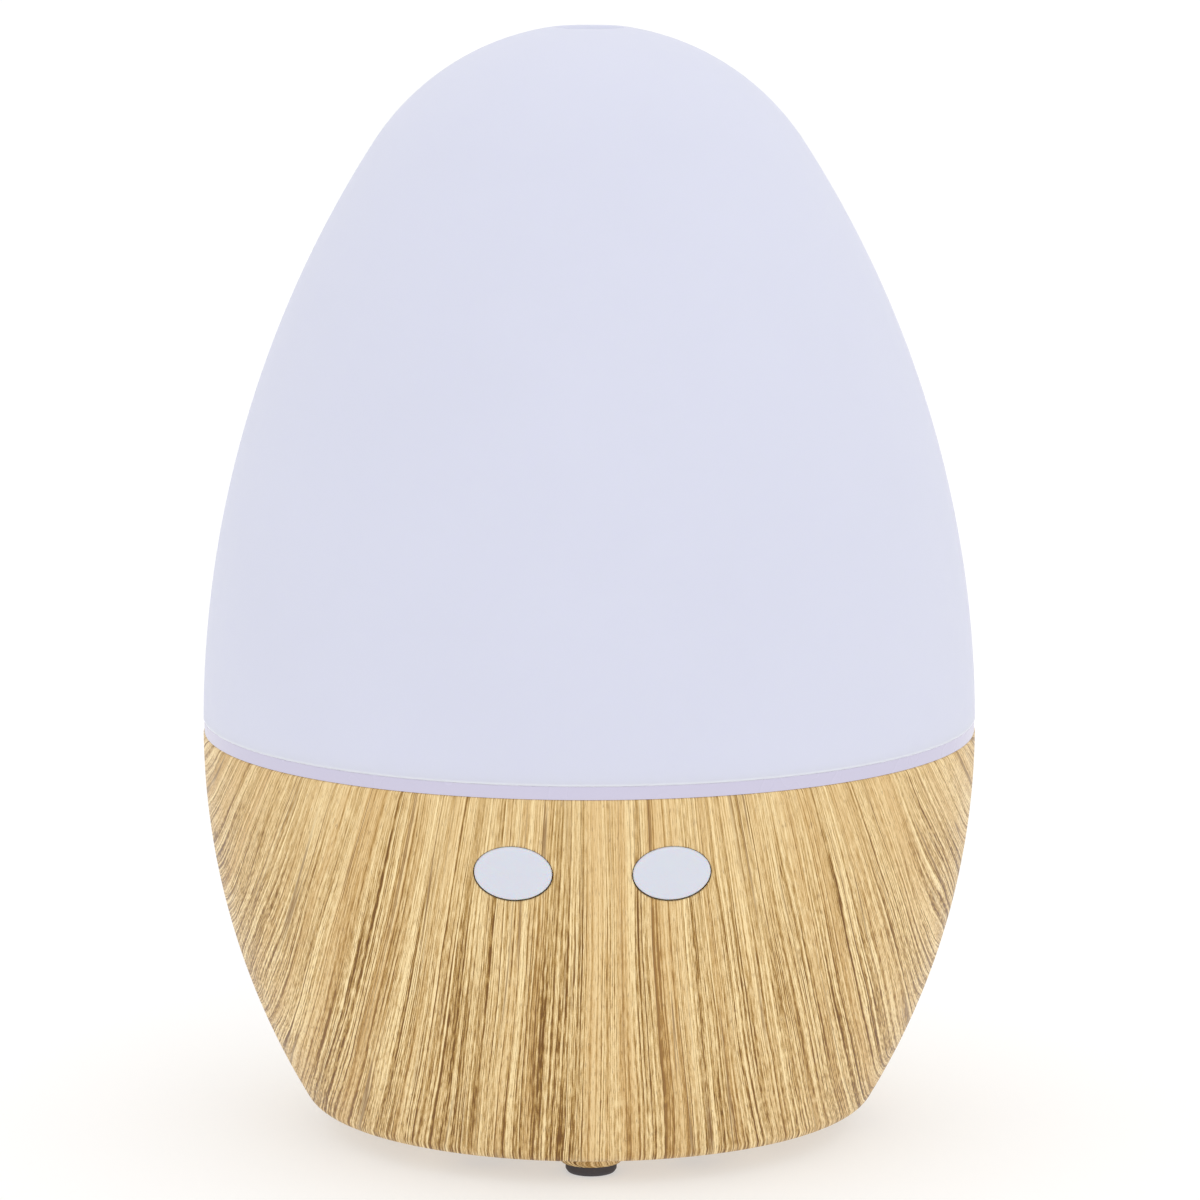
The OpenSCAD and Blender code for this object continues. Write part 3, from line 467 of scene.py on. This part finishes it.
FINISHES = {
    "frosted_dome": frosted("frosted_dome"),
    "hood_plastic": moulded("hood_plastic", srgb(236, 236, 239), 0.36, mottle=0.01),
    "tank_plastic": moulded("tank_plastic", srgb(201, 197, 218), 0.26, grain=3, depth=0.01,
                            mottle=0.008, edge=None),
    "silicone": moulded("silicone", srgb(220, 220, 216), 0.55, depth=0.02, Subsurface_Weight=0.3,
                        Subsurface_Scale=1 * MM),
    "wood_film": wood("wood_film", film_place),
    "wood_under": wood("wood_under", lambda finish: finish.place),
    "bowl_plastic": moulded("bowl_plastic", srgb(203, 178, 132), 0.42),
    "foot_rubber": moulded("foot_rubber", srgb(70, 66, 70), 0.72, grain=0.25, depth=0.03),
    "screw_steel": metal("screw_steel", srgb(196, 196, 200), 0.3, stretch=(0.2, 0.2, 1.2)),
    "button_plastic": moulded("button_plastic", srgb(212, 215, 226), 0.3, grain=0.5,
                              depth=0.004, mottle=0.015, edge=None, Subsurface_Weight=0.2,
                              Subsurface_Scale=1 * MM),
    "switch_plastic": moulded("switch_plastic", srgb(52, 52, 55), 0.45),
    "green_board": circuit_board("green_board", srgb(24, 92, 58), srgb(38, 122, 78), 3.0),
    "white_board": circuit_board("white_board", srgb(232, 234, 231), srgb(215, 220, 214), 11.0),
    "disc_electrode": metal("disc_electrode", srgb(214, 210, 196), 0.4, stretch=(1.2, 1.2, 1.2),
                            depth=0.01),
    "retainer_steel": metal("retainer_steel", srgb(190, 192, 196), 0.32),
    "led_plastic": moulded("led_plastic", srgb(240, 226, 150), 0.22, mottle=0.08,
                           Coat_Weight=0.4),
    "ferrite": moulded("ferrite", srgb(58, 55, 54), 0.6, grain=0.2, depth=0.05, mottle=0.2),
    "capacitor_sleeve": moulded("capacitor_sleeve", srgb(34, 40, 84), 0.28, grain=1.2,
                                depth=0.02, Coat_Weight=0.3),
    "chip_plastic": moulded("chip_plastic", srgb(38, 38, 40), 0.55, grain=0.15, depth=0.03),
    "sink_aluminium": metal("sink_aluminium", srgb(196, 198, 203), 0.36),
    "connector_plastic": moulded("connector_plastic", srgb(236, 233, 220), 0.42, mottle=0.03,
                                 Subsurface_Weight=0.2, Subsurface_Scale=1 * MM),
    "fan_plastic": moulded("fan_plastic", srgb(40, 40, 43), 0.42),
    "shaft_steel": metal("shaft_steel", srgb(205, 207, 211), 0.18, stretch=(0.1, 0.1, 0.1),
                         depth=0.002),
    "bearing_bronze": metal("bearing_bronze", srgb(176, 132, 84), 0.5, stretch=(0.2, 0.2, 0.2),
                            depth=0.03),
    "stator_steel": metal("stator_steel", srgb(140, 140, 145), 0.42, stretch=(3, 3, 0.35),
                          depth=0.06),
    "coil_copper": metal("coil_copper", srgb(196, 112, 62), 0.3, stretch=(4, 4, 0.3),
                         depth=0.08),
    "seal_foam": moulded("seal_foam", srgb(62, 62, 65), 0.85, grain=0.45, depth=0.12),
    "jack_plastic": moulded("jack_plastic", srgb(36, 36, 39), 0.4),
    "contact_brass": metal("contact_brass", srgb(216, 200, 152), 0.26),
    "wire_sleeve": moulded("wire_sleeve", srgb(176, 36, 28), 0.38, grain=2, depth=0.01),
}


def dress_cad_nodes():
    """Gives each CAD node the finish of its slot in the record."""
    slots = {part["node"]: part["material_slot"] for part in frame["record"]["subparts"]}
    for name, node in frame["nodes"].items():
        node.data.materials.clear()
        node.data.materials.append(FINISHES[slots[name]])
    frame["nodes"]["bottom_cover"].data.materials[0] = FINISHES["wood_under"]


# ---- Dome and hood ----

def make_dome():
    """The dome as one closed shell: chimney, inner crown and flank, lower edge, outer skin."""
    inner_flank = FLANK_ARC_R - DOME_WALL
    inner_crown = CROWN_ARC_R - DOME_WALL
    flank_x = BODY_R - FLANK_ARC_R
    chimney_r = OUTLET_R + CHIMNEY_WALL
    chimney_z = low("dome_cover").z + 70.3 * MM
    foot_in = math.asin((DOME_Z - RIM_Z) / inner_flank)
    foot_out = math.asin((DOME_Z - RIM_Z) / FLANK_ARC_R)
    mouth_r = OUTLET_R + 0.8 * MM
    corners = [(OUTLET_R, chimney_z, 0.5 * MM), (chimney_r, chimney_z, 0.5 * MM)]
    meeting = math.acos(chimney_r / inner_crown)
    corners += [(chimney_r, CROWN_Z + inner_crown * math.sin(meeting), 0.8 * MM)]
    corners += arc(0, CROWN_Z, inner_crown, meeting - 0.06, CROWN_ANGLE, 14)
    corners += arc(flank_x, RIM_Z, inner_flank, CROWN_ANGLE, foot_in + 0.008, 44)[1:]
    corners += [(flank_x + inner_flank * math.cos(foot_in), DOME_Z, 0.3 * MM),
                (flank_x + FLANK_ARC_R * math.cos(foot_out), DOME_Z, 0.16 * MM)]
    corners += arc(flank_x, RIM_Z, FLANK_ARC_R, foot_out + 0.008, CROWN_ANGLE, 52)
    mouth = math.acos(mouth_r / CROWN_ARC_R)
    corners += arc(0, CROWN_Z, CROWN_ARC_R, CROWN_ANGLE, mouth - 0.03, 22)[1:]
    corners += [(mouth_r, CROWN_Z + CROWN_ARC_R * math.sin(mouth), 0.35 * MM),
                (OUTLET_R, CROWN_Z + CROWN_ARC_R * math.sin(mouth) - 0.8 * MM, 0.4 * MM)]
    outline, _ = rounded(corners)
    dome = make_piece("dome_shell", *lathe(outline, 224), [FINISHES["frosted_dome"]])
    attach(dome, "dome")
    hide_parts("dome_cover")


def make_hood():
    """The splash hood: a cone with a rim that sits on the tank, and a chimney."""
    foot_z = low("splash_hood").z
    top_z = high("splash_hood").z
    rim_r = high("splash_hood").x
    rim_t = 1.5 * MM
    wall = 1.4 * MM
    foot_r = rim_r - 3.4 * MM
    neck_z = top_z - 30 * MM
    chimney_r = 8 * MM
    outline, _ = rounded([
        (foot_r - 2 * MM, foot_z, 0.3 * MM), (rim_r, foot_z, 0.4 * MM),
        (rim_r, foot_z + rim_t, 0.6 * MM), (foot_r, foot_z + rim_t, 1.2 * MM),
        (chimney_r, neck_z, 5 * MM), (chimney_r, top_z, 0.6 * MM),
        (chimney_r - wall, top_z, 0.6 * MM), (chimney_r - wall, neck_z - 0.6 * MM, 4 * MM),
        (foot_r - 2 * MM, foot_z + rim_t - 0.4 * MM, 0.4 * MM)], 8)
    hood = make_piece("mist_hood", *lathe(outline, 160), [FINISHES["hood_plastic"]])
    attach(hood, "hood")
    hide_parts("splash_hood")


# ---- Bowl ----

SEGMENTS = 256
LEVEL = 1 * MM
BUTTON_GAP = 0.12 * MM
# the caps sit a little high in their holes
BUTTON_HOLE_DROP = 0.09 * MM
HOLE_EDGE = 0.16 * MM
BUTTON_HALF_W = 5.15 * MM
BUTTON_HALF_H = 3.65 * MM
RECESS_R = 6 * MM
RECESS_FLOOR_Y = 42 * MM
RECESS_BACK_Y = 40 * MM
NOSE_HOLE_R = 4.1 * MM
# the grid's rows, in levels above or below the buttons
TOP_LEVEL = 9
LOWEST_OUTER_LEVEL = -41
LOWEST_INNER_LEVEL = -38
# the ledge at the bottom that the cover's seat is cut into
COVER_SEAT_R = 35.7 * MM
LEDGE_R = 33.7 * MM
SEAT_Z = BOWL_Z + 2 * MM
LEDGE_Z = SEAT_Z + 1.5 * MM
LEDGE_EDGE = 0.2 * MM
NOTCH_R = 2.8 * MM
NOTCH_CENTRES = ((-30 * MM, 12 * MM), (-30 * MM, -12 * MM), (29.6 * MM, 14.5 * MM))


def bowl_r(z, inset=0.0):
    """Radius of the bowl's side at a height, or of a surface inset from it."""
    return BODY_R - BOWL_ARC_R + math.sqrt((BOWL_ARC_R - inset) ** 2 - (RIM_Z - z) ** 2)


def on_bowl(x, z, side, inset=0.0):
    """The point of the bowl's side that shows at x and z, in front (side -1) or behind (+1)."""
    return (x, side * math.sqrt(bowl_r(z, inset) ** 2 - x ** 2), z)


def bowl_corners():
    """The bowl's half-section, and for each level above or below the buttons its corner."""
    corners = [(BODY_R, RIM_Z, 0.35 * MM)]
    outer = {}
    inner = {}
    for k in range(TOP_LEVEL, LOWEST_OUTER_LEVEL - 1, -1):
        z = BUTTON_Z + k * LEVEL
        if z > FILLET_END_Z + 0.2 * MM:
            outer[k] = len(corners)
            corners.append((bowl_r(z), z, 0))
    corners += arc(FILLET_X, FILLET_Z, BOWL_FILLET_R, -FILLET_ANGLE, -math.pi / 2, FILLET_STEPS)
    corners += [(COVER_SEAT_R, BOWL_Z, 0.3 * MM), (COVER_SEAT_R, SEAT_Z, 0.1 * MM),
                (LEDGE_R, SEAT_Z, LEDGE_EDGE), (LEDGE_R, LEDGE_Z, LEDGE_EDGE),
                (bowl_r(LEDGE_Z, BOWL_WALL), LEDGE_Z, 0.3 * MM)]
    for k in range(LOWEST_INNER_LEVEL, TOP_LEVEL + 1):
        z = BUTTON_Z + k * LEVEL
        inner[k] = len(corners)
        corners.append((bowl_r(z, BOWL_WALL), z, 0))
    corners.append((BODY_R - BOWL_WALL, RIM_Z, 0.3 * MM))
    return corners, outer, inner


def cut_ledge_notches(points):
    """Moves the ledge's inner edge out, where the fan's and the main board's bosses stand."""
    slack = 0.01 * MM
    for index, (x, y, z) in enumerate(points):
        r = math.hypot(x, y)
        if z > LEDGE_Z + slack or r > LEDGE_R + LEDGE_EDGE + slack:
            continue
        for cx, cy in NOTCH_CENTRES:
            along = (x * cx + y * cy) / r
            gap = NOTCH_R ** 2 - (cx ** 2 + cy ** 2 - along ** 2)
            if along > 0 and gap > 0:
                reach = along + math.sqrt(gap) + r - LEDGE_R
                if reach > r:
                    points[index] = (x * reach / r, y * reach / r, z)


class Window:
    """A place on the bowl's side where the turned grid gives way to rings round a hole."""

    def __init__(self, middle_segment, half_segments, middle_level, half_levels, centre, side):
        self.columns = [(middle_segment + k) % SEGMENTS
                        for k in range(-half_segments, half_segments + 1)]
        self.levels = list(range(middle_level - half_levels, middle_level + half_levels + 1))
        self.centre = centre
        self.side = side

    def border(self):
        """(level, column) of each grid point round the window, once round."""
        first, last = self.levels[0], self.levels[-1]
        left, right = self.columns[0], self.columns[-1]
        return ([(first, c) for c in self.columns[:-1]] + [(z, right) for z in self.levels[:-1]]
                + [(last, c) for c in self.columns[:0:-1]] + [(z, left) for z in self.levels[:0:-1]])


def make_bowl():
    """The wood-look bowl as one closed shell, with button holes and the inlet's recess."""
    corners, outer_levels, inner_levels = bowl_corners()
    outline, starts = rounded(corners, 4)
    outer = {k: starts[i] for k, i in outer_levels.items()}
    inner = {k: starts[i] for k, i in inner_levels.items()}
    points, all_faces = lathe(outline, SEGMENTS)
    cut_ledge_notches(points)
    columns_off = round(math.asin(BUTTON_X / bowl_r(BUTTON_Z)) / (2 * math.pi) * SEGMENTS)
    jack_level = round((JACK_Z - BUTTON_Z) / LEVEL)
    hole_z = BUTTON_Z - BUTTON_HOLE_DROP
    buttons = [Window(side * columns_off, 6, 0, 6, (side * BUTTON_X, hole_z), -1)
               for side in (-1, 1)]
    recess = Window(SEGMENTS // 2, 9, jack_level, 8, (0, JACK_Z), 1)
    windows = buttons + [recess]

    skipped = set()
    for window in windows:
        for surface in (outer, inner):
            rows = [surface[z] for z in window.levels]
            for i in range(min(rows), max(rows)):
                for j in window.columns[:-1]:
                    skipped.add(i * SEGMENTS + j)
    # the film ends at the last point of the fillet
    film_end = starts[outer_levels[min(outer_levels)]] + FILLET_STEPS + 1
    faces = []
    materials = []
    for index, face in enumerate(all_faces):
        if index not in skipped:
            faces.append(face)
            materials.append(0 if index // SEGMENTS < film_end else 1)

    def ring_round(window, surface, inset, half_w, half_h, edge, steps):
        """Rings from a window's border to a hole in it, with a rounded edge. Returns the last."""
        border = [surface[z] * SEGMENTS + c for z, c in window.border()]
        cx, cz = window.centre
        angles = [math.atan2((points[b][2] - cz) / half_h, (points[b][0] - cx) / half_w)
                  for b in border]
        count = len(border)
        rows = []
        for step in range(1, steps + 1):
            share = (step / steps) ** 0.8
            for b, a in zip(border, angles):
                x = cx + (half_w + edge) * math.cos(a)
                z = cz + (half_h + edge) * math.sin(a)
                x = points[b][0] + (x - points[b][0]) * share
                z = points[b][2] + (z - points[b][2]) * share
                rows.append(on_bowl(x, z, window.side, inset))
        bends = 4 if edge else 0
        for step in range(1, bends + 1):
            a0 = math.pi / 2 * step / bends
            for a in angles:
                x = cx + (half_w + edge * (1 - math.sin(a0))) * math.cos(a)
                z = cz + (half_h + edge * (1 - math.sin(a0))) * math.sin(a)
                px, py, pz = on_bowl(x, z, window.side, inset)
                rows.append((px, py - window.side * edge * (1 - math.cos(a0)), pz))
        start = len(points)
        points.extend(rows)
        added = []
        for k in range(count):
            m = (k + 1) % count
            added.append((border[k], border[m], start + m, start + k))
        for row in range(steps + bends - 1):
            join_rings(added, start + row * count, start + (row + 1) * count, count)
        faces.extend(added)
        materials.extend([0 if surface is outer else 1] * len(added))
        return start + (steps + bends - 1) * count, angles

    def add_ring(angles, radius, y, centre):
        start = len(points)
        points.extend((centre[0] + radius * math.cos(a), y, centre[1] + radius * math.sin(a))
                      for a in angles)
        return start

    half_w = BUTTON_HALF_W + BUTTON_GAP
    half_h = BUTTON_HALF_H + BUTTON_GAP
    for window in buttons:
        front, angles = ring_round(window, outer, 0, half_w, half_h, HOLE_EDGE, 5)
        back, _ = ring_round(window, inner, BOWL_WALL, half_w, half_h, 0, 5)
        added = []
        join_rings(added, front, back, len(angles))
        faces.extend(added)
        materials.extend([1] * len(added))
    rear, angles = ring_round(recess, outer, 0, RECESS_R, RECESS_R, 0.5 * MM, 4)
    boss_r = RECESS_R + 2 * MM
    inside, _ = ring_round(recess, inner, BOWL_WALL, boss_r, boss_r, 0, 2)
    rings = [rear]
    for radius, y in ((RECESS_R, RECESS_FLOOR_Y + 0.3 * MM), (RECESS_R - 0.3 * MM, RECESS_FLOOR_Y),
                      (NOSE_HOLE_R + 0.15 * MM, RECESS_FLOOR_Y),
                      (NOSE_HOLE_R, RECESS_FLOOR_Y - 0.15 * MM),
                      (NOSE_HOLE_R, RECESS_BACK_Y), (boss_r, RECESS_BACK_Y)):
        rings.append(add_ring(angles, radius, y, recess.centre))
    rings.append(inside)
    for first, second in zip(rings, rings[1:]):
        added = []
        join_rings(added, first, second, len(angles))
        faces.extend(added)
        materials.extend([1] * len(added))
    bowl = make_piece("wood_bowl", points, faces,
                      [FINISHES["wood_film"], FINISHES["bowl_plastic"]], materials)
    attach(bowl, "root")
    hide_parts("base_shell")


# ---- Push buttons ----

def make_button(name, node, body):
    """An oval cap whose face follows the bowl, with its flange and stem."""
    count = 72
    x0 = middle(node).x
    proud = 0.2 * MM
    edge = 0.4 * MM
    edge_steps = 6
    flange_y = -47.9 * MM
    flange_back_y = flange_y + 1 * MM
    flange_w = BUTTON_HALF_W + 1 * MM
    flange_h = BUTTON_HALF_H + 1 * MM
    bend = 0.15 * MM
    stem_r = 1.5 * MM
    stem_end_y = high(node).y
    angles = [2 * math.pi * k / count for k in range(count)]
    points = []
    rings = 0

    def face_ring(inset, sink):
        for a in angles:
            x = x0 + (BUTTON_HALF_W - inset) * math.cos(a)
            z = BUTTON_Z + (BUTTON_HALF_H - inset) * math.sin(a)
            px, py, pz = on_bowl(x, z, -1, -proud)
            points.append((px, py + sink, pz))

    def back_ring(half_w, half_h, y):
        for a in angles:
            points.append((x0 + half_w * math.cos(a), y, BUTTON_Z + half_h * math.sin(a)))

    # rings grow from a short line in the middle, so that the oval's ends stay evenly spaced
    for share in (0.999, 0.9, 0.75, 0.55, 0.35, 0.22):
        inset = edge + (BUTTON_HALF_H - edge) * share
        face_ring(inset, 0)
        rings += 1
    for step in range(edge_steps + 1):
        a = math.pi / 2 * step / edge_steps
        face_ring(edge * (1 - math.sin(a)), edge * (1 - math.cos(a)))
        rings += 1
    for half_w, half_h, y in (
            (BUTTON_HALF_W, BUTTON_HALF_H, flange_y),
            (flange_w - bend, flange_h - bend, flange_y),
            (flange_w, flange_h, flange_y + bend),
            (flange_w, flange_h, flange_back_y - bend),
            (flange_w - bend, flange_h - bend, flange_back_y),
            (stem_r + 0.3 * MM, stem_r + 0.3 * MM, flange_back_y),
            (stem_r, stem_r, flange_back_y + 0.2 * MM),
            (stem_r, stem_r, stem_end_y - bend),
            (stem_r - 0.2 * MM, stem_r - 0.2 * MM, stem_end_y)):
        back_ring(half_w, half_h, y)
        rings += 1
    faces = [tuple(range(count)), tuple(range((rings - 1) * count, rings * count))]
    for row in range(rings - 1):
        join_rings(faces, row * count, (row + 1) * count, count)
    button = make_piece(name, points, faces, [FINISHES["button_plastic"]])
    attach(button, body)
    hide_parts(node)


# ---- Feet ----

def make_feet():
    """Four rubber pads with rounded edges and a shallow dish underneath."""
    reach = high("rubber_feet").x
    top_z = high("rubber_feet").z
    pad_r = 3.5 * MM
    circle_r = reach - pad_r
    outline, _ = rounded([
        (0, 0.25 * MM, 0), (pad_r - 1.4 * MM, 0.25 * MM, 0), (pad_r - 1.2 * MM, 0, 0.1 * MM),
        (pad_r - 0.35 * MM, 0, 0.3 * MM), (pad_r, 0.5 * MM, 0.3 * MM),
        (pad_r, top_z, 0.1 * MM), (0, top_z, 0)], 4)
    points = []
    faces = []
    for k in range(4):
        a = math.pi / 2 * k
        centre = (circle_r * math.cos(a), circle_r * math.sin(a))
        more_points, more_faces = lathe(outline, 64, centre)
        faces += [tuple(i + len(points) for i in face) for face in more_faces]
        points += more_points
    feet = make_piece("foot_pads", points, faces, [FINISHES["foot_rubber"]])
    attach(feet, "root")
    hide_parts("rubber_feet")


# ---- Studio ----

def add_light(name, place, target, size, power):
    data = bpy.data.lights.new(name, "AREA")
    data.shape = "DISK"
    data.size = size
    data.energy = power
    light = bpy.data.objects.new(name, data)
    light.location = place
    light.rotation_euler = (Vector(target) - Vector(place)).to_track_quat("-Z", "Y").to_euler()
    bpy.context.scene.collection.objects.link(light)


def make_studio():
    """A pale floor, an even white surround and two large soft lights."""
    reach = 4
    mesh = bpy.data.meshes.new("floor")
    mesh.from_pydata([(-reach, -reach, 0), (reach, -reach, 0), (reach, reach, 0),
                      (-reach, reach, 0)], [], [(0, 1, 2, 3)])
    finish = Finish("floor_paint")
    # the floor glows a little, as a lit table does, which keeps its shadow pale
    finish.set(
        Base_Color=srgb(188, 188, 188), Roughness=0.9, Specular_IOR_Level=0.2,
        Emission_Color=(1, 1, 1, 1), Emission_Strength=0.5)
    mesh.materials.append(finish.material)
    floor = bpy.data.objects.new("floor", mesh)
    bpy.context.scene.collection.objects.link(floor)
    world = bpy.data.worlds.new("surround")
    world.use_nodes = True
    background = world.node_tree.nodes["Background"]
    background.inputs["Color"].default_value = (1, 1, 1, 1)
    background.inputs["Strength"].default_value = 1.0
    bpy.context.scene.world = world
    bpy.context.scene.view_settings.view_transform = "Standard"
    egg = (0, 0, 80 * MM)
    add_light("front_box", (0.3, -1.2, 0.9), egg, 0.9, 1.6)
    add_light("top_box", (0.2, 0.1, 1.4), egg, 1.2, 1.2)


def make_camera():
    data = bpy.data.cameras.new("camera")
    data.lens = 171
    data.clip_start = 0.01
    camera = bpy.data.objects.new("camera", data)
    place = Vector((-0.0062, -0.7866, 0.2023))
    target = Vector((0.0015, 0, 0.0743))
    camera.location = place
    camera.rotation_euler = (target - place).to_track_quat("-Z", "Y").to_euler()
    bpy.context.scene.collection.objects.link(camera)
    bpy.context.scene.camera = camera


make_camera()
make_studio()
dress_cad_nodes()
make_dome()
make_hood()
make_bowl()
make_button("mist_key_cap", "mist_button", "mist_key")
make_button("light_key_cap", "light_button", "light_key")
make_feet()
